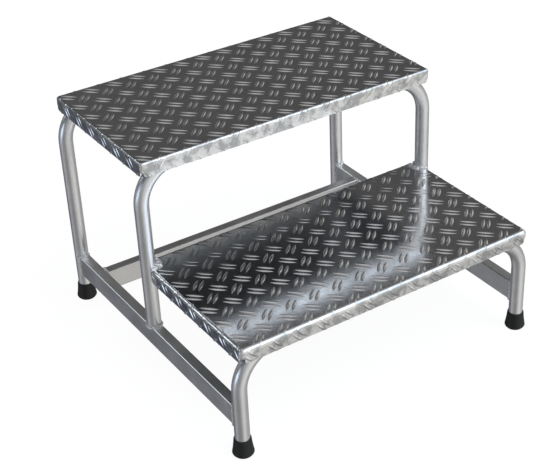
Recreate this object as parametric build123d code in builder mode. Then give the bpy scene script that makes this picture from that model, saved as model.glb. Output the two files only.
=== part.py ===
from build123d import *
import os

# Two-step mounting block for riders: folded tread-plate trays on a welded aluminium tube frame.
# Origin on the floor at the centre of the footprint. +X runs along the treads, +Y from the low
# step to the high step, +Z up. All sizes are in millimetres.

# Treads: two folded trays of raised-pattern plate, the lower one a little deeper
tread_length = 600.0
upper_tread_depth = 316.0
lower_tread_depth = 322.0
lower_tread_top = 217.0
upper_tread_top = 424.0
sheet = 2.5
flange_depth = 26.0
fold_radius = 5.0
flange_corner_trim = 4.0
corner_gap = sheet + 0.5

# Bows: round tube bent to an inverted U, one under each long edge of a tread
tube_radius = 13.0
tube_wall = 2.0
leg_x = 298.5
bow_bend_radius = 72.0
bow_inset = sheet + tube_radius

# Rails: rectangular tube on edge, tying the legs together
rail_width = 20.0
rail_height = 40.0
rail_wall = 2.0
rail_corner = 2.5
rail_top = 98.0
cross_rail_y = 205.0

# Feet: rubber ferrules pushed over the leg ends, with a steel disc inside
foot_top_radius = 15.0
foot_bottom_radius = 18.7
foot_height = 33.5
foot_base = 4.0
foot_chamfer = 4.0
foot_lip_radius = 0.8
disc_thickness = 2.0
disc_radius = 12.0

# Welds
bead = 4.0
bead_length = 12.0
bead_rounding = 1.8
ring_bead = 4.8
notch_clearance = 0.5
stitch_length = 30.0
stitch_count = 5
stitch_spacing = 100.0

# Places worked out from the sizes above
bow_spacing = upper_tread_depth - 2 * bow_inset
front_y = -bow_spacing
middle_y = 0.0
rear_y = bow_spacing
lower_tread_centre_y = front_y - bow_inset + lower_tread_depth / 2
upper_tread_centre_y = rear_y / 2
tube_foot = foot_base + disc_thickness
rail_centre_z = rail_top - rail_height / 2
stitch_y = tube_radius - sheet
notch_x = leg_x - tube_radius - notch_clearance
notch_y = middle_y - tube_radius - notch_clearance
sides = {"left": -1, "right": 1}

os.makedirs("parts", exist_ok=True)


def save(piece, name):
    """Label a finished piece and write it as its own file."""
    piece.part.label = name
    export_step(piece.part, f"parts/{name}.step")


def bow(y, top, foot):
    """One tube bent to an inverted U, standing at y, from foot height up to just under top."""
    axis_top = top - sheet - tube_radius
    with BuildPart() as tube:
        with BuildLine(Plane.XZ.offset(-y)) as path:
            FilletPolyline(
                (-leg_x, foot),
                (-leg_x, axis_top),
                (leg_x, axis_top),
                (leg_x, foot),
                radius=bow_bend_radius,
            )
        with BuildSketch(Plane((-leg_x, y, foot), z_dir=(0, 0, 1))):
            Circle(tube_radius)
            Circle(tube_radius - tube_wall, mode=Mode.SUBTRACT)
        sweep(path=path.line)
    return tube


def tray(centre_y, top, depth, notched):
    """A sheet with four folded-down flanges; a notched tray has its rear corners cut out."""
    with BuildPart() as folded:
        with BuildSketch(Plane.XY.offset(top)):
            with Locations((0, centre_y)):
                Rectangle(tread_length, depth)
        extrude(amount=-flange_depth)
        fillet(folded.faces().sort_by(Axis.Z)[-1].edges(), radius=fold_radius)
        offset(amount=-sheet, openings=folded.faces().sort_by(Axis.Z)[0])
        # Each vertical corner is left open, for the seam weld
        with BuildSketch(Plane.XY.offset(top - fold_radius)):
            with Locations((0, centre_y)):
                with GridLocations(tread_length - corner_gap, depth - corner_gap, 2, 2):
                    Rectangle(corner_gap, corner_gap)
        extrude(amount=-flange_depth, mode=Mode.SUBTRACT)
        bottom_edges = folded.edges().group_by(Axis.Z)[0]
        flange_ends = bottom_edges.filter_by(lambda edge: edge.length < 2 * sheet)
        chamfer(flange_ends, length=flange_corner_trim)
        if notched:
            rear = centre_y + depth / 2
            with BuildSketch(Plane.XY.offset(top)):
                with Locations((0, (notch_y + rear) / 2)):
                    with GridLocations(notch_x + tread_length / 2, 1, 2, 1):
                        Rectangle(tread_length / 2 - notch_x, rear - notch_y)
            extrude(amount=-flange_depth, mode=Mode.SUBTRACT)
    return folded


def corner_seams(top, corner_rows):
    """Ground weld metal in a tray's open vertical corners, at the y of each row of corners."""
    height = flange_depth - fold_radius - flange_corner_trim
    with BuildPart() as seams:
        for y in corner_rows:
            for side in sides.values():
                x = side * (tread_length - corner_gap) / 2
                with BuildSketch(Plane((x, y, top - fold_radius))):
                    Rectangle(corner_gap, corner_gap)
                extrude(amount=-height)
    return seams


def box_tube(plane, length):
    """Rectangular tube on edge, extruded both ways from the middle of its length."""
    with BuildPart() as tube:
        with BuildSketch(plane):
            RectangleRounded(rail_width, rail_height, rail_corner)
            RectangleRounded(
                rail_width - 2 * rail_wall,
                rail_height - 2 * rail_wall,
                rail_corner - rail_wall,
                mode=Mode.SUBTRACT,
            )
        extrude(amount=length / 2, both=True)
    return tube


def foot(x, y):
    """Rubber ferrule: a tapered cup with a chamfered sole and a bore that grips the tube."""
    with BuildPart() as ferrule:
        with BuildSketch(Plane((x, y, 0), x_dir=(1, 0, 0), z_dir=(0, -1, 0))):
            Polygon(
                (0, 0),
                (foot_bottom_radius - foot_chamfer, 0),
                (foot_bottom_radius, foot_chamfer),
                (foot_top_radius, foot_height),
                (tube_radius, foot_height),
                (tube_radius, foot_base),
                (0, foot_base),
                align=None,
            )
        revolve(axis=Axis((x, y, 0), (0, 0, 1)))
        fillet(ferrule.edges().group_by(Axis.Z)[-1].sort_by(Edge.radius)[-1], radius=foot_lip_radius)
    return ferrule


def foot_disc(x, y):
    """Steel disc that lies in the ferrule, so that the tube's edge can't cut through the rubber."""
    with BuildPart() as disc:
        with BuildSketch(Plane((x, y, foot_base))):
            Circle(disc_radius)
        extrude(amount=disc_thickness)
    return disc


def cut_leg(x, y):
    """Cut the open builder's part to the outside of a leg standing at x, y."""
    with Locations((x, y, rail_centre_z)):
        Cylinder(tube_radius, upper_tread_top, mode=Mode.SUBTRACT)


def rounded_block(centre, width, depth, height):
    """A block of weld metal with every edge rounded, added to the open builder's part."""
    with Locations(centre):
        block = Box(width, depth, height)
    fillet(block.edges(), radius=bead_rounding)


# Trays
upper_tread = tray(upper_tread_centre_y, upper_tread_top, upper_tread_depth, notched=False)
lower_tread = tray(lower_tread_centre_y, lower_tread_top, lower_tread_depth, notched=True)
save(upper_tread, "upper_tread")
save(lower_tread, "lower_tread")

# Bows: the front and rear ones reach the feet, the middle one stands on the side rails
front_bow = bow(front_y, lower_tread_top, tube_foot)
middle_bow = bow(middle_y, upper_tread_top, rail_top)
rear_bow = bow(rear_y, upper_tread_top, tube_foot)
save(front_bow, "front_bow")
save(middle_bow, "middle_bow")
save(rear_bow, "rear_bow")

# Side rails run from the front legs to the rear legs, coped to sit against the round tube
for side, sign in sides.items():
    x = sign * leg_x
    rail_plane = Plane((x, middle_y, rail_centre_z), x_dir=(1, 0, 0), z_dir=(0, -1, 0))
    with BuildPart() as side_rail:
        add(box_tube(rail_plane, rear_y - front_y).part)
        cut_leg(x, front_y)
        cut_leg(x, rear_y)
    save(side_rail, f"side_rail_{side}")

# Rear cross rail fits between the side rails
cross_rail_length = 2 * leg_x - rail_width
cross_plane = Plane((0, cross_rail_y, rail_centre_z), x_dir=(0, 1, 0), z_dir=(1, 0, 0))
rear_cross_rail = box_tube(cross_plane, cross_rail_length)
save(rear_cross_rail, "rear_cross_rail")

# Feet, and the discs inside them
for row, y in {"front": front_y, "rear": rear_y}.items():
    for side, sign in sides.items():
        save(foot(sign * leg_x, y), f"foot_{row}_{side}")
        save(foot_disc(sign * leg_x, y), f"foot_disc_{row}_{side}")

# Welds round the rail ends, against the front and rear legs
for row, y in {"front": front_y, "rear": rear_y}.items():
    for side, sign in sides.items():
        x = sign * leg_x
        inward = 1 if y < 0 else -1
        with BuildPart() as rail_weld:
            rounded_block(
                (x, y + inward * tube_radius, rail_centre_z),
                rail_width + 2 * bead,
                bead_length,
                rail_height + 2 * bead,
            )
            cut_leg(x, y)
            with Locations((x, middle_y, rail_centre_z)):
                Box(rail_width, rear_y - front_y, rail_height, mode=Mode.SUBTRACT)
        save(rail_weld, f"weld_rail_{row}_{side}")

# Welds round the foot of the middle bow, on top of the side rails
for side, sign in sides.items():
    x = sign * leg_x
    with BuildPart() as leg_weld:
        with Locations((x, middle_y, rail_top)):
            Torus(tube_radius + notch_clearance, ring_bead)
        with Locations((x, middle_y, rail_centre_z)):
            Box(rail_width, bow_spacing, rail_height, mode=Mode.SUBTRACT)
        with Locations((x, middle_y, rail_top)):
            Cylinder(
                tube_radius,
                2 * bead,
                align=(Align.CENTER, Align.CENTER, Align.MIN),
                mode=Mode.SUBTRACT,
            )
    save(leg_weld, f"weld_middle_leg_{side}")

# Welds round the ends of the cross rail, against the side rails
for side, sign in sides.items():
    with BuildPart() as cross_weld:
        rounded_block(
            (sign * (cross_rail_length - bead) / 2, cross_rail_y, rail_centre_z),
            bead,
            rail_width + 2 * bead,
            rail_height + bead,
        )
        with Locations((0, cross_rail_y, rail_centre_z)):
            Box(cross_rail_length, rail_width, rail_height, mode=Mode.SUBTRACT)
    save(cross_weld, f"weld_cross_rail_{side}")

# Welds where the lower tray's notches meet the middle legs
for side, sign in sides.items():
    with BuildPart() as tread_weld:
        rounded_block(
            (sign * notch_x, middle_y + notch_clearance, lower_tread_top),
            3 * bead,
            2 * tube_radius,
            2 * bead,
        )
        cut_leg(sign * leg_x, middle_y)
        with Locations((0, middle_y, lower_tread_top)):
            Box(
                2 * notch_x,
                4 * tube_radius,
                4 * bead,
                align=(Align.CENTER, Align.CENTER, Align.MAX),
                mode=Mode.SUBTRACT,
            )
    save(tread_weld, f"weld_lower_tread_{side}")

# Seam welds in the trays' vertical corners
upper_seam_y = (upper_tread_depth - corner_gap) / 2
lower_seam_y = (lower_tread_depth - corner_gap) / 2
upper_rows = (upper_tread_centre_y - upper_seam_y, upper_tread_centre_y + upper_seam_y)
save(corner_seams(upper_tread_top, upper_rows), "weld_upper_corners")
save(corner_seams(lower_tread_top, (lower_tread_centre_y - lower_seam_y,)), "weld_lower_corners")

# Stitch welds under the treads, in the corner between each bow's top tube and the sheet
stitched = {
    "lower_front": (front_y, lower_tread_top, 1),
    "upper_front": (middle_y, upper_tread_top, 1),
    "upper_rear": (rear_y, upper_tread_top, -1),
}
for name, (y, top, inward) in stitched.items():
    underside = top - sheet
    with BuildPart() as stitches:
        with Locations((0, y + inward * stitch_y, underside - bead / 2)):
            with GridLocations(stitch_spacing, 1, stitch_count, 1):
                Box(stitch_length, bead, bead)
        with Locations((0, y, underside - tube_radius)):
            Cylinder(tube_radius, tread_length, rotation=(0, 90, 0), mode=Mode.SUBTRACT)
    save(stitches, f"weld_stitches_{name}")
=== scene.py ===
import math

import bpy
import numpy as np
from mathutils import Matrix, Vector, noise
from mathutils.geometry import delaunay_2d_cdt


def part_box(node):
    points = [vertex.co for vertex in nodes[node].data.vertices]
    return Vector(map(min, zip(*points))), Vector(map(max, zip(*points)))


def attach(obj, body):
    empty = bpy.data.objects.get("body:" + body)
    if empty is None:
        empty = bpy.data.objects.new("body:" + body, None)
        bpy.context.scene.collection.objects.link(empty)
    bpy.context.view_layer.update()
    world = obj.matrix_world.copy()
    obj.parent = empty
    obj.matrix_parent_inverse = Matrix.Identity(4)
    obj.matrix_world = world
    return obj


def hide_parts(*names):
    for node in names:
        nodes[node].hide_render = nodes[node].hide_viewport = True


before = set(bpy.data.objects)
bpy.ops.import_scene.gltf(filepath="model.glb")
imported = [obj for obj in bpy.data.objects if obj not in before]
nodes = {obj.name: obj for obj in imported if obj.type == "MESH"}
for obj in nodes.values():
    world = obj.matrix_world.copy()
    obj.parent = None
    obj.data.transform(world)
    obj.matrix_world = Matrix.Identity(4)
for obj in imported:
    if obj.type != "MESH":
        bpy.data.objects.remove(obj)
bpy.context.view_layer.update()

# Visual model of the two-step mounting block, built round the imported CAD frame.
# Every length is in metres. Treads, welds and feet are new meshes placed from the CAD boxes;
# the bent tubes, rails and discs are the CAD nodes with finished materials.

MM = 0.001

# Sizes of the real parts, in metres
SHEET = 2.5 * MM
TUBE_RADIUS = 13.0 * MM
PATTERN_PITCH = 46.6 * MM
BAR_HALF_LENGTH = 16.5 * MM
BAR_HALF_WIDTH = 3.1 * MM
BAR_SPACING = 9.8 * MM
BAR_HEIGHT = 1.35 * MM
FLANGE_CORNER = 5.0 * MM
UPPER_FOLD_RADIUS = 4.5 * MM
LOWER_FOLD_RADIUS = 7.5 * MM
NOTCH_CLEARANCE = 0.5 * MM
STITCH_PITCH = 100 * MM
STITCH_HALF_LENGTH = 15 * MM
STITCH_SETBACK = 8.5 * MM

# Fineness of the meshes
FOLD_STEPS = 6
FOLD_CUTS = 12
BAR_RING_POINTS = 20
CORNER_STEPS = 4
COPE_STEPS = 8
BEAD_SIDES = 14
BEAD_STEP = 0.8 * MM
FOOT_SEGMENTS = 72

# How the tread pattern and the weld beads vary
BAR_KEPT_ON_FOLD = 0.4
RIPPLE_LENGTH = 2.6 * MM
LUMP_SIZE = 3.2 * MM

# Places read from the frame
upper_low, upper_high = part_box("upper_tread")
lower_low, lower_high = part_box("lower_tread")
rail_low, rail_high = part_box("side_rail_left")
cross_low, cross_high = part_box("rear_cross_rail")
foot_low, foot_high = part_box("foot_front_left")
LEG_X = -(foot_low.x + foot_high.x) / 2
FRONT_Y = (foot_low.y + foot_high.y) / 2
REAR_Y = -FRONT_Y
RAIL_TOP = rail_high.z
RAIL_BOTTOM = rail_low.z
RAIL_HALF_WIDTH = (rail_high.x - rail_low.x) / 2
NOTCH_X = LEG_X - TUBE_RADIUS - NOTCH_CLEARANCE
NOTCH_Y = -TUBE_RADIUS - NOTCH_CLEARANCE


# ---------------------------------------------------------------- materials


class Nodes:
    """A small helper that adds shader nodes to a tree and links them."""

    def __init__(self, tree):
        self.tree = tree
        tree.nodes.clear()

    def add(self, kind, **settings):
        node = self.tree.nodes.new(kind)
        for key, value in settings.items():
            setattr(node, key, value)
        return node

    def link(self, source, target):
        self.tree.links.new(source, target)

    def coordinates(self, stretch=(1, 1, 1)):
        """Object coordinates in metres, scaled along each axis."""
        source = self.add("ShaderNodeTexCoord")
        mapping = self.add("ShaderNodeMapping")
        mapping.inputs["Scale"].default_value = stretch
        self.link(source.outputs["Object"], mapping.inputs["Vector"])
        return mapping.outputs["Vector"]

    def noise(self, scale, detail=4.0, roughness=0.55, stretch=(1, 1, 1)):
        texture = self.add("ShaderNodeTexNoise")
        texture.inputs["Scale"].default_value = scale
        texture.inputs["Detail"].default_value = detail
        texture.inputs["Roughness"].default_value = roughness
        self.link(self.coordinates(stretch), texture.inputs["Vector"])
        return texture.outputs["Fac"]

    def remap(self, value, low, high, to_low, to_high):
        node = self.add("ShaderNodeMapRange")
        node.inputs["From Min"].default_value = low
        node.inputs["From Max"].default_value = high
        node.inputs["To Min"].default_value = to_low
        node.inputs["To Max"].default_value = to_high
        self.link(value, node.inputs["Value"])
        return node.outputs["Result"]

    def mix_colour(self, factor, first, second):
        node = self.add("ShaderNodeMix", data_type="RGBA")
        for socket, value in ((node.inputs[6], first), (node.inputs[7], second)):
            if isinstance(value, tuple):
                socket.default_value = value + (1.0,)
            else:
                self.link(value, socket)
        self.link(factor, node.inputs[0])
        return node.outputs[2]

    def math(self, operation, first, second):
        node = self.add("ShaderNodeMath", operation=operation)
        for socket, value in zip(node.inputs, (first, second)):
            if isinstance(value, (int, float)):
                socket.default_value = value
            else:
                self.link(value, socket)
        return node.outputs[0]

    def bump(self, height, distance, strength=1.0, normal=None):
        node = self.add("ShaderNodeBump")
        node.inputs["Distance"].default_value = distance
        node.inputs["Strength"].default_value = strength
        self.link(height, node.inputs["Height"])
        if normal is not None:
            self.link(normal, node.inputs["Normal"])
        return node.outputs["Normal"]

    def attribute(self, name):
        return self.add("ShaderNodeAttribute", attribute_name=name).outputs["Fac"]


class Finish(Nodes):
    """A new material with one principled shader."""

    def __init__(self, name):
        self.material = bpy.data.materials.new(name)
        self.material.use_nodes = True
        super().__init__(self.material.node_tree)
        self.output = self.add("ShaderNodeOutputMaterial")
        self.shader = self.add("ShaderNodeBsdfPrincipled")
        self.link(self.shader.outputs["BSDF"], self.output.inputs["Surface"])


def tread_plate_material():
    """Bright rolled plate: faint rolling lines, bars rubbed paler on top, upright folded faces mottled
    darker as painted shade in their reflection.
    """
    n = Finish("tread_plate")
    raised = n.attribute("raised")
    cloud = n.noise(14.0, 5.0)
    stain = n.noise(55.0, 6.0, 0.65)
    ground = n.mix_colour(n.remap(cloud, 0.35, 0.7, 0, 1), (0.74, 0.73, 0.72), (0.82, 0.82, 0.82))
    worn = n.mix_colour(n.remap(raised, 0.35, 1.0, 0, 1), ground, (0.92, 0.92, 0.93))
    place = n.add("ShaderNodeSeparateXYZ")
    n.link(n.add("ShaderNodeNewGeometry").outputs["True Normal"], place.inputs[0])
    upright = n.remap(n.math("ABSOLUTE", place.outputs["Z"], 0.0), 0.97, 0.6, 0.0, 1.0)
    # Painted shade: upright faces get dark grey blotches that stand in for the uneven reflection on
    # the flanges.
    painted_shade_mottle = n.math("MULTIPLY", upright, n.remap(n.noise(48.0, 4.0, 0.6), 0.44, 0.60, 0.0, 0.8))
    n.link(n.mix_colour(painted_shade_mottle, worn, (0.36, 0.37, 0.38)), n.shader.inputs["Base Color"])
    n.shader.inputs["Metallic"].default_value = 1.0
    base = n.remap(stain, 0.3, 0.75, 0.12, 0.20)
    rough = n.math("ADD", base, n.remap(raised, 0.2, 1.0, 0.0, 0.06))
    n.link(rough, n.shader.inputs["Roughness"])
    lines = n.noise(900.0, 3.0, 0.6, (0.03, 1.0, 1.0))
    waves = n.math("MULTIPLY", n.noise(38.0, 3.0, 0.5), n.remap(upright, 0.0, 1.0, 1.0, 2.2))
    fine = n.bump(lines, 0.02 * MM, 0.5)
    n.link(n.bump(waves, 0.5 * MM, 0.3, fine), n.shader.inputs["Normal"])
    return n.material


def plate_underside_material():
    """The smooth back of the plate: duller than the top, with faint smears, its colour darkened and
    tinted blue as painted shade.
    """
    n = Finish("plate_underside_painted_shade")
    smear = n.noise(18.0, 5.0, 0.6, (0.3, 1.0, 1.0))
    # Painted shade: the underside is coloured dark bluish grey, far darker than the top face of the
    # same metal.
    shade = n.mix_colour(n.remap(smear, 0.3, 0.7, 0, 1), (0.30, 0.33, 0.37), (0.40, 0.42, 0.45))
    n.link(shade, n.shader.inputs["Base Color"])
    n.shader.inputs["Metallic"].default_value = 1.0
    n.link(n.remap(smear, 0.3, 0.7, 0.28, 0.4), n.shader.inputs["Roughness"])
    return n.material


def drawn_aluminium_material(name, axis, dark, pale, rough_low, rough_high, corner_polish=0.0):
    """Satin mill-finish section with fine drawing lines along one axis (0, 1 or 2).

    A rail's rounded corners can be smoother than its flats.
    """
    n = Finish(name)
    stretch = [1.0, 1.0, 1.0]
    stretch[axis] = 0.02
    streaks = n.noise(700.0, 3.0, 0.6, tuple(stretch))
    cloud = n.noise(22.0, 5.0)
    shade = n.mix_colour(n.remap(cloud, 0.3, 0.7, 0, 1), dark, pale)
    n.link(shade, n.shader.inputs["Base Color"])
    n.shader.inputs["Metallic"].default_value = 1.0
    base = n.remap(cloud, 0.3, 0.7, rough_low, rough_high)
    rough = n.math("ADD", base, n.remap(streaks, 0.3, 0.7, -0.03, 0.03))
    if corner_polish:
        facing = n.add("ShaderNodeSeparateXYZ")
        n.link(n.add("ShaderNodeNewGeometry").outputs["Normal"], facing.inputs[0])
        bevel = n.math("ABSOLUTE", n.math("MULTIPLY", facing.outputs["X"], facing.outputs["Z"]), 0.0)
        rough = n.math("SUBTRACT", rough, n.remap(bevel, 0.15, 0.45, 0.0, corner_polish))
    n.link(rough, n.shader.inputs["Roughness"])
    n.link(n.bump(streaks, 0.02 * MM, 0.6), n.shader.inputs["Normal"])
    return n.material


def weld_material():
    """As-welded aluminium: bright, rippled, with grey soot in the hollows."""
    n = Finish("weld_metal")
    soot = n.noise(160.0, 5.0, 0.6)
    shade = n.mix_colour(n.remap(soot, 0.35, 0.65, 0, 1), (0.66, 0.65, 0.63), (0.95, 0.95, 0.95))
    n.link(shade, n.shader.inputs["Base Color"])
    n.shader.inputs["Metallic"].default_value = 0.65
    n.link(n.remap(soot, 0.3, 0.7, 0.5, 0.32), n.shader.inputs["Roughness"])
    n.link(n.bump(n.noise(420.0, 3.0), 0.25 * MM, 0.5), n.shader.inputs["Normal"])
    return n.material


def rubber_material():
    """Moulded black rubber with a fine speckle and a little floor dust near the sole."""
    n = Finish("rubber")
    speckle = n.noise(1500.0, 2.0)
    place = n.add("ShaderNodeSeparateXYZ")
    n.link(n.coordinates(), place.inputs[0])
    low = n.remap(place.outputs["Z"], 0.0, 10 * MM, 1.0, 0.0)
    dust = n.math("MULTIPLY", low, n.remap(n.noise(260.0, 4.0), 0.45, 0.7, 0.0, 0.5))
    colour = n.mix_colour(dust, (0.008, 0.008, 0.008), (0.06, 0.058, 0.052))
    n.link(colour, n.shader.inputs["Base Color"])
    n.link(n.remap(speckle, 0.3, 0.7, 0.5, 0.68), n.shader.inputs["Roughness"])
    n.link(n.bump(speckle, 0.06 * MM, 0.5), n.shader.inputs["Normal"])
    return n.material


def zinc_material():
    """Zinc-plated steel disc with a faint spangle."""
    n = Finish("disc_steel")
    grain = n.noise(300.0, 2.0)
    colour = n.mix_colour(grain, (0.45, 0.46, 0.47), (0.62, 0.63, 0.65))
    n.link(colour, n.shader.inputs["Base Color"])
    n.shader.inputs["Metallic"].default_value = 1.0
    n.link(n.remap(grain, 0.3, 0.7, 0.3, 0.45), n.shader.inputs["Roughness"])
    return n.material


PLATE = tread_plate_material()
PLATE_UNDERSIDE_PAINTED_SHADE = plate_underside_material()
TUBE = drawn_aluminium_material(
    "tube_upright", 2, (0.80, 0.80, 0.81), (0.90, 0.90, 0.90), 0.30, 0.40
)
SIDE_RAIL = drawn_aluminium_material(
    "rail_side", 1, (0.80, 0.79, 0.77), (0.90, 0.89, 0.87), 0.34, 0.44, corner_polish=0.22
)
# Painted shade: the cross rail is the side rails' metal given a darker colour for the shade it sits
# in.
CROSS_RAIL_PAINTED_SHADE = drawn_aluminium_material(
    "rail_cross_painted_shade", 0, (0.60, 0.585, 0.565), (0.71, 0.695, 0.675), 0.36, 0.46
)
WELD = weld_material()
RUBBER = rubber_material()
ZINC = zinc_material()


# ---------------------------------------------------------------- mesh helpers


def new_piece(name, vertices, faces, material, replaced, sharp_degrees=50.0):
    """Make a smooth-shaded mesh piece that rides on the frame and stands for CAD nodes."""
    mesh = bpy.data.meshes.new(name)
    mesh.from_pydata(vertices, [], faces)
    mesh.validate()
    mesh.materials.append(material)
    piece = bpy.data.objects.new(name, mesh)
    bpy.context.scene.collection.objects.link(piece)
    mesh.shade_smooth()
    mesh.set_sharp_from_angle(angle=math.radians(sharp_degrees))
    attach(piece, "root")
    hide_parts(replaced)
    return piece


# ---------------------------------------------------------------- treads


def bar_height(along, across):
    """Height from 0 to 1 of one bar, shaped as a disc cutter would sink it into the roll.

    The outline is a pointed oval, the crown is rounded and the flanks keep their slope
    all the way to both tips.
    """
    width = np.maximum(1 - (along / BAR_HALF_LENGTH) ** 2, 1e-6)
    return np.maximum(width - (across / BAR_HALF_WIDTH) ** 2 / width, 0.0)


# Each kind of bar pair: its direction in the blank and its place in the repeating square
BAR_KINDS = (
    ((math.sqrt(0.5), -math.sqrt(0.5)), (0.0, 0.0)),
    ((math.sqrt(0.5), math.sqrt(0.5)), (23.6 * MM, 25.5 * MM)),
)


def pattern_height(u, v, phase):
    """Height of the raised pattern, from 0 to 1, at points of the flat blank."""
    height = np.zeros_like(u)
    for (dx, dy), (first_u, first_v) in BAR_KINDS:
        du = (u - phase[0] - first_u + PATTERN_PITCH / 2) % PATTERN_PITCH - PATTERN_PITCH / 2
        dv = (v - phase[1] - first_v + PATTERN_PITCH / 2) % PATTERN_PITCH - PATTERN_PITCH / 2
        along = du * dx + dv * dy
        across = dv * dx - du * dy
        for side in (-0.5, 0.5):
            height = np.maximum(height, bar_height(along, across - side * BAR_SPACING))
    return height


class Blank:
    """The flat sheet of one tray, centred on the tray, and the map that folds it."""

    def __init__(self, low, high, radius, notch=None):
        self.centre = (low + high) / 2
        self.top = high.z
        self.radius = radius
        self.half = ((high.x - low.x) / 2, (high.y - low.y) / 2)
        self.depth = high.z - low.z
        self.notch = notch
        self.start = (self.half[0] - radius, self.half[1] - radius)
        self.arc = radius * math.pi / 2
        self.edge = tuple(s + self.arc + self.depth - radius for s in self.start)

    def corner(self, side_end, front_end):
        """Outline round one corner, from the side flange to the front or rear flange."""
        side_flange = rounded(self.edge[0] - FLANGE_CORNER, side_end - FLANGE_CORNER)
        front_flange = rounded(front_end - FLANGE_CORNER, self.edge[1] - FLANGE_CORNER)
        return side_flange + [(front_end, side_end)] + front_flange

    def outline(self):
        """The whole blank, anticlockwise from the rear right corner."""
        plain = self.corner(self.start[1], self.start[0])
        rear = self.corner(*self.notch) if self.notch else plain
        loop = list(rear)
        loop += [(-x, y) for x, y in reversed(rear)]
        loop += [(-x, -y) for x, y in plain]
        loop += [(x, -y) for x, y in reversed(plain)]
        return loop

    def fold_lines(self, inset):
        """Lines along every fold, from one end of the fold to the other less an inset."""
        lines = []
        for step in range(FOLD_STEPS + 1):
            offset = self.arc * step / FOLD_STEPS
            for sign in (-1, 1):
                x = sign * (self.start[0] + offset)
                y = sign * (self.start[1] + offset)
                rear = (self.notch[0] if self.notch else self.start[1]) - inset
                lines.append(((x, inset - self.start[1]), (x, rear)))
                reach = self.notch[1] if self.notch and sign > 0 else self.start[0]
                lines.append(((inset - reach, y), (reach - inset, y)))
        return lines

    def press(self, flat):
        """How much of a bar's height is left by the folding press: less on the folds."""
        kept = np.ones(len(flat))
        for axis in (0, 1):
            middle = self.start[axis] + self.arc / 2
            distance = np.abs(np.abs(flat[:, axis]) - middle) / (self.arc / 2 + 2 * MM)
            recovery = (1 - BAR_KEPT_ON_FOLD) * np.clip(distance, 0, 1) ** 2
            kept = np.minimum(kept, BAR_KEPT_ON_FOLD + recovery)
        return kept

    def fold(self, u, v, height):
        """Fold points of the blank, with a height above its upper face, into the tray."""
        place = [u.copy(), v.copy()]
        z = np.full_like(u, self.top)
        for axis, flat in enumerate((u, v)):
            beyond = np.abs(flat) - self.start[axis]
            turned = beyond > 0
            angle = np.clip(beyond / self.radius, 0, math.pi / 2)
            straight = np.maximum(beyond - self.arc, 0)
            reach = self.start[axis] + (self.radius + height) * np.sin(angle)
            place[axis][turned] = (np.sign(flat) * reach)[turned]
            drop = self.radius - (self.radius + height) * np.cos(angle) + straight
            z[turned] -= (drop + height)[turned]
        z += height
        return np.stack([place[0] + self.centre.x, place[1] + self.centre.y, z], 1)


def rounded(x, y):
    """A quarter circle of the flange's corner radius about x, y."""
    angles = [math.pi / 2 * k / CORNER_STEPS for k in range(CORNER_STEPS + 1)]
    return [(x + FLANGE_CORNER * math.cos(a), y + FLANGE_CORNER * math.sin(a)) for a in angles]


def inside(points, outline):
    """Even-odd test of points against a closed outline."""
    result = np.zeros(len(points), bool)
    px, py = points[:, 0], points[:, 1]
    for (x0, y0), (x1, y1) in zip(outline, outline[1:] + outline[:1]):
        if y0 == y1:
            continue
        crosses = (y0 > py) != (y1 > py)
        result ^= crosses & (px < (x1 - x0) * (py - y0) / (y1 - y0) + x0)
    return result


def triangulate(points, edges, outline):
    """Constrained triangles inside an outline. Works in millimetres for even precision."""
    scaled = [Vector((x / MM, y / MM)) for x, y in points]
    result = delaunay_2d_cdt(scaled, edges, [], 0, 1e-4)
    flat = np.array([tuple(p) for p in result[0]]) * MM
    triangles = np.array([tuple(f) for f in result[2]])
    keep = triangles[inside(flat[triangles].mean(1), outline)]
    used, compact = np.unique(keep, return_inverse=True)
    return flat[used], compact.reshape(keep.shape)


def closed_edges(start, count):
    return [(start + k, start + (k + 1) % count) for k in range(count)]


def boundary_loop(triangles):
    """The ordered rim of a triangulated disc, in the triangles' own direction."""
    sides = set()
    for a, b, c in triangles.tolist():
        sides.update(((a, b), (b, c), (c, a)))
    following = {a: b for a, b in sides if (b, a) not in sides}
    first = min(following)
    loop = [first]
    while following[loop[-1]] != first:
        loop.append(following[loop[-1]])
    return loop


def bar_rings(x, y, dx, dy):
    """Nested rings of points on one bar and one ring on the flat just outside it."""
    rings = []
    for fraction, guard in ((1.0, 0.5 * MM), (1.0, 0.0), (0.82, 0.0), (0.58, 0.0), (0.3, 0.0)):
        reach = BAR_HALF_LENGTH * (0.8 + 0.2 * fraction) + 2 * guard
        ring = []
        for k in range(BAR_RING_POINTS):
            angle = 2 * math.pi * k / BAR_RING_POINTS
            along = reach * math.cos(angle)
            width = max(1 - (along / BAR_HALF_LENGTH) ** 2, 0.0) * BAR_HALF_WIDTH
            taper = abs(math.sin(angle)) ** 0.4
            across = width * fraction * (taper if fraction < 1 else 1) + guard * taper
            across = math.copysign(across, math.sin(angle + 1e-9))
            ring.append((x + along * dx - across * dy, y + along * dy + across * dx))
        rings.append(ring)
    return rings


def pattern_rings(blank, phase):
    """Rings of points for every bar of the pattern that reaches the blank."""
    rings = []
    reach = [int(edge / PATTERN_PITCH) + 2 for edge in blank.edge]
    for i in range(-reach[0], reach[0] + 1):
        for j in range(-reach[1], reach[1] + 1):
            for (dx, dy), (first_u, first_v) in BAR_KINDS:
                for side in (-0.5 * BAR_SPACING, 0.5 * BAR_SPACING):
                    x = phase[0] + first_u + i * PATTERN_PITCH - side * dy
                    y = phase[1] + first_v + j * PATTERN_PITCH + side * dx
                    beyond = max(abs(x) - blank.edge[0], abs(y) - blank.edge[1])
                    if beyond < BAR_HALF_LENGTH:
                        rings += bar_rings(x, y, dx, dy)
    return rings


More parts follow.
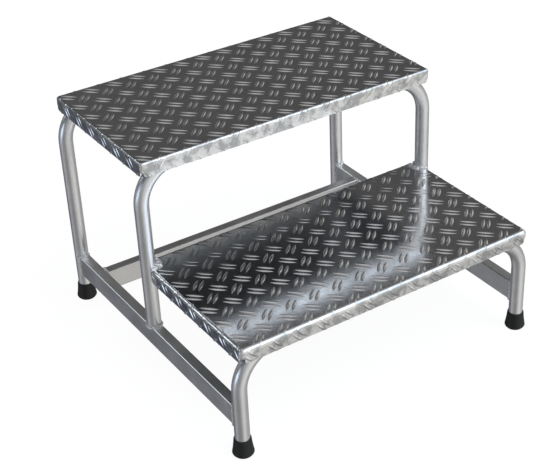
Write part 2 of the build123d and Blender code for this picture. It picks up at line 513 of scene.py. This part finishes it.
def tread(name, blank, phase):
    """A folded tray of tread plate with every raised bar in the mesh."""
    outline = blank.outline()
    points = list(outline)
    edges = closed_edges(0, len(outline))
    for start, end in blank.fold_lines(inset=-2 * MM):
        edges.append((len(points), len(points) + 1))
        points += [start, end]
    for ring in pattern_rings(blank, phase):
        edges += closed_edges(len(points), len(ring))
        points += ring
    flat, triangles = triangulate(points, edges, outline)
    raised = pattern_height(flat[:, 0], flat[:, 1], phase) * blank.press(flat)
    upper_face = blank.fold(flat[:, 0], flat[:, 1], raised * BAR_HEIGHT)

    rim = boundary_loop(triangles)
    rim_outline = [tuple(flat[k]) for k in rim]
    points = list(rim_outline)
    edges = closed_edges(0, len(rim))
    for start, end in blank.fold_lines(inset=0.4 * MM):
        first = len(points)
        for k in range(FOLD_CUTS + 1):
            points.append(tuple(a + (b - a) * k / FOLD_CUTS for a, b in zip(start, end)))
        edges += [(first + k, first + k + 1) for k in range(FOLD_CUTS)]
    under, under_triangles = triangulate(points, edges, rim_outline)
    under_face = blank.fold(under[:, 0], under[:, 1], np.full(len(under), -SHEET))

    base = len(flat)
    lookup = {}
    for index, (x, y) in enumerate(under):
        lookup[(round(x / MM, 2), round(y / MM, 2))] = base + index
    opposite = [nearest_rim(lookup, x, y) for x, y in rim_outline]
    faces = triangles.tolist()
    faces += (under_triangles[:, ::-1] + base).tolist()
    for k, a in enumerate(rim):
        m = (k + 1) % len(rim)
        faces.append([rim[m], a, opposite[k], opposite[m]])
    vertices = np.concatenate([upper_face, under_face])
    piece = new_piece(name, vertices.tolist(), faces, PLATE, name.replace("plate_", ""))
    layer = piece.data.attributes.new("raised", "FLOAT", "POINT")
    layer.data.foreach_set("value", np.concatenate([raised, np.zeros(len(under))]).astype(np.float32))
    piece.data.materials.append(PLATE_UNDERSIDE_PAINTED_SHADE)
    for index in range(len(triangles), len(triangles) + len(under_triangles)):
        piece.data.polygons[index].material_index = 1
    return piece


def nearest_rim(lookup, x, y):
    """The underside vertex that stands below a rim point."""
    fx, fy = round(x / MM, 2), round(y / MM, 2)
    for dx in (0, -0.01, 0.01):
        for dy in (0, -0.01, 0.01):
            key = (round(fx + dx, 2), round(fy + dy, 2))
            if key in lookup:
                return lookup[key]
    raise ValueError(f"no underside vertex below {fx}, {fy}")


lower_centre_y = (lower_low.y + lower_high.y) / 2
notch = (NOTCH_Y - lower_centre_y, NOTCH_X)
upper_blank = Blank(upper_low, upper_high, UPPER_FOLD_RADIUS)
lower_blank = Blank(lower_low, lower_high, LOWER_FOLD_RADIUS, notch)
tread("plate_upper_tread", upper_blank, phase=(-6.4 * MM, -0.9 * MM))
tread("plate_lower_tread", lower_blank, phase=(-2.4 * MM, 13.2 * MM))


# ---------------------------------------------------------------- welds


def resample(path, step):
    """Points at an even step along a polyline."""
    points = [Vector(p) for p in path]
    result = [points[0]]
    carried = 0.0
    for a, b in zip(points, points[1:]):
        length = (b - a).length
        travelled = step - carried
        while travelled <= length:
            result.append(a.lerp(b, travelled / length))
            travelled += step
        carried = length - (travelled - step)
    return result


def bead_rings(path, radius, seed, closed, ripple, lumps, squash=1.0):
    """Rings of a weld bead along a path, rippled along its length and lumpy all over."""
    points = resample(path, BEAD_STEP)
    rings = []
    count = len(points)
    for k, point in enumerate(points):
        ahead = points[(k + 1) % count] if closed or k + 1 < count else point
        behind = points[k - 1] if closed or k > 0 else point
        tangent = (ahead - behind).normalized()
        across = tangent.orthogonal() if abs(tangent.z) > 0.9 else tangent.cross(Vector((0, 0, 1)))
        across.normalize()
        up = across.cross(tangent)
        travelled = k * BEAD_STEP
        size = radius * (1 + ripple * math.sin(2 * math.pi * travelled / RIPPLE_LENGTH))
        if not closed:
            end = min(k, count - 1 - k) * BEAD_STEP
            if end < radius:
                size *= math.sqrt(max(0.05, 1 - (1 - end / radius) ** 2))
        ring = []
        for m in range(BEAD_SIDES):
            angle = 2 * math.pi * m / BEAD_SIDES
            spot = point + (across * math.cos(angle) + up * math.sin(angle) * squash) * size
            sample = spot / LUMP_SIZE + Vector((seed, seed * 0.7, -seed))
            swell = lumps * radius * noise.noise(sample)
            ring.append(spot + (spot - point).normalized() * swell)
        rings.append(ring)
    return rings


def add_bead(vertices, faces, path, radius, seed, closed=False, ripple=0.09, lumps=0.35, squash=1.0):
    """Append one closed bead to a mesh being built."""
    rings = bead_rings(path, radius, seed, closed, ripple, lumps, squash)
    base = len(vertices)
    for ring in rings:
        vertices += [tuple(p) for p in ring]
    count = len(rings)
    for k in range(count if closed else count - 1):
        a, b = base + k * BEAD_SIDES, base + (k + 1) % count * BEAD_SIDES
        for m in range(BEAD_SIDES):
            n = (m + 1) % BEAD_SIDES
            faces.append((a + m, a + n, b + n, b + m))
    if not closed:
        last = base + (count - 1) * BEAD_SIDES
        faces.append(tuple(base + m for m in reversed(range(BEAD_SIDES))))
        faces.append(tuple(last + m for m in range(BEAD_SIDES)))


def weld(name, beads):
    """One weld piece, made of one or more beads, that stands for the CAD node of that name."""
    vertices, faces = [], []
    for bead in beads:
        add_bead(vertices, faces, **bead)
    return new_piece("bead_" + name, vertices, faces, WELD, name, sharp_degrees=80.0)


def arc_points(x, y, z, radius, start, end, count=24):
    """Points on a level arc; angles in degrees."""
    angles = [math.radians(start + (end - start) * k / count) for k in range(count + 1)]
    return [(x + radius * math.cos(a), y + radius * math.sin(a), z) for a in angles]


def cope_path(x, y, inward):
    """Closed path round a rail's end, where it meets the round leg at x, y."""
    top, bottom = RAIL_TOP - 0.5 * MM, RAIL_BOTTOM + 0.5 * MM
    path = []
    for z, direction in ((top, 1), (bottom, -1)):
        for k in range(COPE_STEPS + 1):
            dx = direction * RAIL_HALF_WIDTH * (2 * k / COPE_STEPS - 1)
            dy = math.sqrt(TUBE_RADIUS**2 - dx**2) + 0.8 * MM
            path.append((x + dx, y + inward * dy, z))
    path.append(path[0])
    return path


def rail_end_welds():
    """A bead all round each rail end, with a heavier crown on top."""
    seed = 1.0
    for row, y in (("front", FRONT_Y), ("rear", REAR_Y)):
        for side, sign in (("left", -1), ("right", 1)):
            x = sign * LEG_X
            inward = 1 if y < 0 else -1
            loop = cope_path(x, y, inward)
            crown = loop[: COPE_STEPS + 1]
            weld(
                f"weld_rail_{row}_{side}",
                [
                    dict(path=loop, radius=2.3 * MM, seed=seed, closed=True),
                    dict(path=crown, radius=3.6 * MM, seed=seed + 9, lumps=0.5, squash=0.75),
                ],
            )
            seed += 2.3


def middle_leg_welds():
    """A ring round each middle leg's foot, a run down the rail's face and two toes on the rail."""
    seed = 21.0
    for side, sign in (("left", -1), ("right", 1)):
        x = sign * LEG_X
        ring = []
        for px, py, pz in arc_points(x, 0.0, RAIL_TOP, TUBE_RADIUS - 0.2 * MM, 0, 360, 48):
            overhang = max(0.0, abs(px - x) - 0.75 * RAIL_HALF_WIDTH) / (0.6 * RAIL_HALF_WIDTH)
            ring.append((px, py, pz + 0.2 * MM - 2.2 * MM * min(1.0, overhang)))
        face = x + sign * (RAIL_HALF_WIDTH + 0.6 * MM)
        run = [
            (face, -8 * MM, RAIL_TOP - 2 * MM),
            (face, 0.0, RAIL_TOP - 4 * MM),
            (face, 8 * MM, RAIL_TOP - 2 * MM),
        ]
        beads = [
            dict(path=ring, radius=2.4 * MM, seed=seed, closed=True, lumps=0.6),
            dict(path=run, radius=2.8 * MM, seed=seed + 4, lumps=0.7),
        ]
        for edge in (-1, 1):
            middle = 90 * edge
            reach = TUBE_RADIUS + 1.6 * MM
            toe = arc_points(x, 0.0, RAIL_TOP + 0.6 * MM, reach, middle - 38, middle + 38)
            beads.append(dict(path=toe, radius=3.1 * MM, seed=seed + 6 + edge, lumps=0.8))
        weld(f"weld_middle_leg_{side}", beads)
        seed += 3.1


def cross_rail_welds():
    """Two upright beads and one over the top, where the cross rail meets each side rail."""
    seed = 31.0
    y = (cross_low.y + cross_high.y) / 2
    half = (cross_high.y - cross_low.y) / 2
    for side, sign in (("left", -1), ("right", 1)):
        x = sign * (cross_high.x - 0.8 * MM)
        beads = []
        for edge in (-1, 1):
            corner = y + edge * (half + 0.6 * MM)
            upright = [(x, corner, RAIL_BOTTOM + 1 * MM), (x, corner, RAIL_TOP - 1 * MM)]
            beads.append(dict(path=upright, radius=2.6 * MM, seed=seed + edge))
        over = [(x, y - half, RAIL_TOP - 0.6 * MM), (x, y + half, RAIL_TOP - 0.6 * MM)]
        beads.append(dict(path=over, radius=2.4 * MM, seed=seed + 5))
        weld(f"weld_cross_rail_{side}", beads)
        seed += 2.7


def lower_tread_welds():
    """A collar on each middle leg, a spread pool on the tread and a drip down its rear flange."""
    seed = 41.0
    z = lower_blank.top + 0.6 * MM
    for side, sign in (("left", -1), ("right", 1)):
        x = sign * LEG_X
        start, end = (-100, 80) if sign < 0 else (280, 100)
        collar = arc_points(x, 0.0, z, TUBE_RADIUS + 1.4 * MM, start, end)
        pool = [
            (x - sign * 15 * MM, -12 * MM, z),
            (x - sign * 19 * MM, -3 * MM, z),
            (x - sign * 20 * MM, 6 * MM, z),
            (x - sign * 17 * MM, 15 * MM, z),
        ]
        drip = [(x - sign * 6 * MM, -16 * MM, z - 2 * MM), (x - sign * 5 * MM, -16 * MM, z - 20 * MM)]
        spread, lumps = (5.8 * MM, 0.8) if sign < 0 else (3.4 * MM, 0.4)
        weld(
            f"weld_lower_tread_{side}",
            [
                dict(path=collar, radius=3.4 * MM, seed=seed, lumps=0.75 * lumps),
                dict(path=pool, radius=spread, seed=seed + 6, lumps=lumps, squash=0.8),
                dict(path=drip, radius=3.2 * MM, seed=seed + 8, lumps=0.7),
            ],
        )
        seed += 3.7


def corner_seam_welds():
    """A bead that closes each folded corner, as round as the fold beside it."""
    seed = 51.0
    for name, blank, rows in (
        ("weld_upper_corners", upper_blank, (-1, 1)),
        ("weld_lower_corners", lower_blank, (-1,)),
    ):
        beads = []
        radius = blank.radius * 0.98
        for row in rows:
            for sign in (-1, 1):
                x = blank.centre.x + sign * blank.start[0]
                y = blank.centre.y + row * blank.start[1]
                bottom = blank.top - blank.depth + FLANGE_CORNER
                seam = [(x, y, blank.top - 0.6 * MM), (x, y, bottom)]
                beads.append(dict(path=seam, radius=radius, seed=seed, ripple=0.02, lumps=0.12))
                seed += 1.9
        weld(name, beads)


def stitch_welds():
    """Five short runs under each tread, along the tube that carries it."""
    seed = 61.0
    for name, y, top, inward in (
        ("lower_front", FRONT_Y, lower_blank.top, 1),
        ("upper_front", 0.0, upper_blank.top, 1),
        ("upper_rear", REAR_Y, upper_blank.top, -1),
    ):
        beads = []
        z = top - SHEET - 1.8 * MM
        beside = y + inward * STITCH_SETBACK
        for k in range(-2, 3):
            x = k * STITCH_PITCH
            run = [(x - STITCH_HALF_LENGTH, beside, z), (x + STITCH_HALF_LENGTH, beside, z)]
            beads.append(dict(path=run, radius=2.4 * MM, seed=seed))
            seed += 1.3
        weld(f"weld_stitches_{name}", beads)


rail_end_welds()
middle_leg_welds()
cross_rail_welds()
lower_tread_welds()
corner_seam_welds()
stitch_welds()


# ---------------------------------------------------------------- feet


def foot_profile():
    """Half section of the ferrule in millimetres: sole with two grooves, taper, lip and bore."""
    sole = [(0, 0)]
    for groove in (5.6, 10.8):
        sole += [(groove, 0), (groove + 0.5, 0.9), (groove + 1.8, 0.9), (groove + 2.3, 0)]
    side = [(14.7, 0), (15.7, 0.35), (18.1, 3.2), (18.7, 4.6), (18.7, 6.0), (17.9, 10.0), (16.6, 18.0)]
    lip = [(15.5, 27.0), (15.2, 31.6), (14.9, 32.9), (14.3, 33.5), (13.6, 33.5), (13.05, 33.1)]
    bore = [(13.0, 31.5), (13.0, 4.0), (0, 4.0)]
    return sole + side + lip + bore


def foot(name):
    """One ferrule, turned from its half section."""
    low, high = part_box(name)
    x, y = (low.x + high.x) / 2, (low.y + high.y) / 2
    profile = foot_profile()
    inner = profile[1:-1]
    vertices = [(x, y, 0.0), (x, y, profile[-1][1] * MM)]
    for k in range(FOOT_SEGMENTS):
        angle = 2 * math.pi * k / FOOT_SEGMENTS
        for r, z in inner:
            vertices.append((x + r * MM * math.cos(angle), y + r * MM * math.sin(angle), z * MM))
    faces = []
    count = len(inner)
    for k in range(FOOT_SEGMENTS):
        a, b = 2 + k * count, 2 + (k + 1) % FOOT_SEGMENTS * count
        for m in range(count - 1):
            faces.append((a + m, b + m, b + m + 1, a + m + 1))
        faces.append((0, b, a))
        faces.append((1, a + count - 1, b + count - 1))
    return new_piece("ferrule_" + name, vertices, faces, RUBBER, name, sharp_degrees=38.0)


for row in ("front", "rear"):
    for side in ("left", "right"):
        foot(f"foot_{row}_{side}")


# ---------------------------------------------------------------- finish of the CAD nodes


def finish_node(name, material):
    for slot in nodes[name].material_slots:
        slot.material = material


for name in nodes:
    if name.endswith("_bow"):
        finish_node(name, TUBE)
    elif name.startswith("side_rail"):
        finish_node(name, SIDE_RAIL)
    elif name == "rear_cross_rail":
        finish_node(name, CROSS_RAIL_PAINTED_SHADE)
    elif name.startswith("foot_disc"):
        finish_node(name, ZINC)


# ---------------------------------------------------------------- stage


FLOOR_REACH = 14.0
FLOOR_GLOW = 1.14
FLOOR_GLOW_SHARE = 0.82


def floor():
    """A large pale floor, seen by the camera and shaded by the block, kept out of the metal."""
    mesh = bpy.data.meshes.new("floor")
    corners = [(x * FLOOR_REACH, y * FLOOR_REACH, 0) for x, y in ((-1, -1), (1, -1), (1, 1), (-1, 1))]
    mesh.from_pydata(corners, [], [(0, 1, 2, 3)])
    plane = bpy.data.objects.new("floor", mesh)
    bpy.context.scene.collection.objects.link(plane)
    n = Finish("floor_paint")
    n.shader.inputs["Base Color"].default_value = (0.86, 0.86, 0.86, 1)
    n.shader.inputs["Roughness"].default_value = 0.9
    glow = n.add("ShaderNodeEmission")
    glow.inputs["Strength"].default_value = FLOOR_GLOW
    blend = n.add("ShaderNodeMixShader")
    blend.inputs[0].default_value = FLOOR_GLOW_SHARE
    n.link(n.shader.outputs["BSDF"], blend.inputs[1])
    n.link(glow.outputs["Emission"], blend.inputs[2])
    n.link(blend.outputs[0], n.output.inputs["Surface"])
    mesh.materials.append(n.material)
    plane.visible_glossy = False
    plane.visible_diffuse = False


# Soft patches of light round the block: direction, inner and outer half angle in degrees, colour.
# A negative colour is a patch of shade.
SOFT_PATCHES = (
    # overhead
    ((0.0, 0.0, 1.0), 12, 50, (0.46, 0.46, 0.47)),
    ((-0.25, -0.45, 0.86), 8, 30, (0.26, 0.26, 0.27)),
    ((0.47, 0.68, 0.58), 26, 55, (0.057, 0.057, 0.057)),
    # high in front, mirrored in the folds and tube bends
    ((0.38, -0.77, 0.51), 12, 42, (0.34, 0.38, 0.42)),
    ((0.42, -0.59, 0.69), 15, 31, (1.25, 1.41, 1.62)),
    ((-0.35, -0.78, 0.50), 12, 46, (0.26, 0.27, 0.28)),
    # low in front and to the sides, mirrored in the flanges and rails
    ((0.30, -0.93, -0.21), 15, 54, (0.52, 0.52, 0.50)),
    ((0.50, -0.55, -0.67), 5, 23, (-0.32, -0.32, -0.31)),
    ((-0.50, -0.60, -0.60), 38, 84, (0.21, 0.21, 0.21)),
    ((0.90, -0.25, -0.42), 26, 62, (0.36, 0.36, 0.35)),
    # left and behind
    ((-0.985, 0.09, 0.01), 6, 18, (1.4, 1.7, 2.1)),
    ((-0.55, 0.68, 0.47), 5, 16, (1.3, 1.45, 1.6)),
    ((-0.60, 0.62, -0.45), 12, 50, (0.25, 0.25, 0.26)),
    ((-0.48, 0.69, -0.54), 8, 20, (-0.19, -0.18, -0.165)),
    ((0.84, 0.36, 0.41), 8, 19, (0.42, 0.41, 0.38)),
    ((0.20, 0.97, 0.12), 5, 22, (0.10, 0.10, 0.09)),
)
SURROUND = (0.030, 0.030, 0.032)


def studio_world():
    """A dark grey room with soft patches of light and shade all round."""
    world = bpy.data.worlds.new("studio")
    bpy.context.scene.world = world
    world.use_nodes = True
    n = Nodes(world.node_tree)
    output = n.add("ShaderNodeOutputWorld")
    background = n.add("ShaderNodeBackground")
    n.link(background.outputs[0], output.inputs["Surface"])
    gaze = n.add("ShaderNodeTexCoord").outputs["Generated"]
    total = n.add("ShaderNodeCombineColor")
    for socket, value in zip(total.inputs, SURROUND):
        socket.default_value = value
    total = total.outputs[0]
    for direction, inner, outer, colour in SOFT_PATCHES:
        facing = n.add("ShaderNodeVectorMath", operation="DOT_PRODUCT")
        n.link(gaze, facing.inputs[0])
        facing.inputs[1].default_value = Vector(direction).normalized()
        patch = n.add("ShaderNodeMapRange", interpolation_type="SMOOTHSTEP")
        n.link(facing.outputs["Value"], patch.inputs["Value"])
        patch.inputs["From Min"].default_value = math.cos(math.radians(outer))
        patch.inputs["From Max"].default_value = math.cos(math.radians(inner))
        glow = n.add("ShaderNodeVectorMath", operation="SCALE")
        glow.inputs[0].default_value = colour
        n.link(patch.outputs["Result"], glow.inputs["Scale"])
        gathered = n.add("ShaderNodeVectorMath", operation="ADD")
        n.link(total, gathered.inputs[0])
        n.link(glow.outputs[0], gathered.inputs[1])
        total = gathered.outputs[0]
    n.link(total, background.inputs["Color"])


CAMERA_PLACE = Vector((-1.1225, -1.7430, 1.4658))
CAMERA_AZIMUTH = math.radians(-35.13)
CAMERA_ELEVATION = math.radians(32.385)
CAMERA_ROLL = math.radians(-0.981)
CAMERA_LENS = 86.96
CAMERA_SHIFT = (-0.1182, 0.0145)


def camera():
    """Camera in front and to the left of the block, looking down on it."""
    data = bpy.data.cameras.new("camera")
    data.sensor_width = 36.0
    data.lens = CAMERA_LENS
    data.shift_x, data.shift_y = CAMERA_SHIFT
    eye = bpy.data.objects.new("camera", data)
    a, e = CAMERA_AZIMUTH, CAMERA_ELEVATION
    back = Vector((math.sin(a) * math.cos(e), -math.cos(a) * math.cos(e), math.sin(e)))
    right = Vector((math.cos(a), math.sin(a), 0.0))
    up = back.cross(right)
    turned_right = right * math.cos(CAMERA_ROLL) + up * math.sin(CAMERA_ROLL)
    turned_up = up * math.cos(CAMERA_ROLL) - right * math.sin(CAMERA_ROLL)
    axes = Matrix((turned_right, turned_up, back)).transposed()
    eye.matrix_world = Matrix.Translation(CAMERA_PLACE) @ axes.to_4x4()
    bpy.context.scene.collection.objects.link(eye)
    bpy.context.scene.camera = eye


floor()
studio_world()
camera()
bpy.context.scene.view_settings.view_transform = "Standard"
